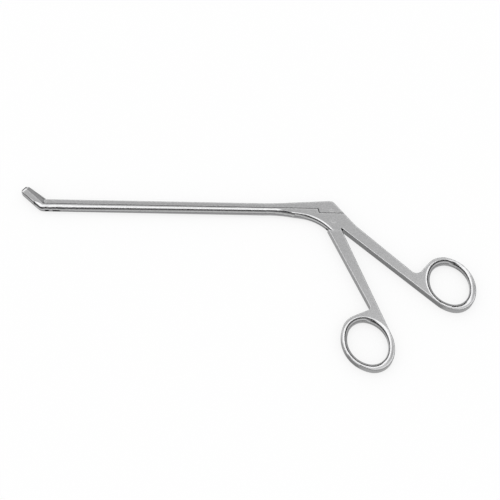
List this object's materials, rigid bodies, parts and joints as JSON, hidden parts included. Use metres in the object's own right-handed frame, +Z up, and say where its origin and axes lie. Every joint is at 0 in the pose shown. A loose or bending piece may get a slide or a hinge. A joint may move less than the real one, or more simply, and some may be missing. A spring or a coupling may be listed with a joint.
{
  "type": "bone rongeur",
  "caption": "Slim ring-handled bone rongeur: squeezing the front ring slides a bar along the shaft and shuts an up-angled cup jaw.",
  "frame": {"origin": "centre of the outline, level with the flat side that the instrument lies on", "axes": "+X along the shaft from the jaws to the handles, +Y to the side that the sliding bar is on, +Z up through the thickness"},
  "size_m": [0.2767, 0.1162, 0.005],
  "materials": {
    "forged_steel": "satin",
    "jaw_steel": "satin",
    "pin_steel": "ground flush, satin"
  },
  "bodies": {
    "shaft": {"shaft_and_thumb_handle": "forged_steel", "handle_pivot_screw": "pin_steel", "jaw_hinge_pin": "pin_steel"},
    "handle": {"finger_handle": "forged_steel"},
    "slide": {"sliding_bar": "forged_steel", "drive_pin": "pin_steel", "jaw_link_pin": "pin_steel"},
    "jaw": {"upper_jaw": "jaw_steel"}
  },
  "joints": [
    {"name": "handle_swing", "type": "hinge", "parent": "shaft", "child": "handle", "pos_m": [0.05597, 0.03778, 0.0025], "axis": [0, 0, -1], "range_deg": [0, 18]},
    {"name": "slide_travel", "type": "slide", "parent": "shaft", "child": "slide", "axis": [1, 0, 0], "range_m": [0, 0.0022]},
    {"name": "jaw_swing", "type": "hinge", "parent": "shaft", "child": "jaw", "pos_m": [-0.12073, 0.04408, 0.0025], "axis": [0, 0, -1], "range_deg": [0, 40]}
  ],
  "couplings": [
    {"joint": "slide_travel", "follows": "handle_swing", "m_per_rad": 0.006867},
    {"joint": "jaw_swing", "follows": "handle_swing", "ratio": 2.1002}
  ]
}
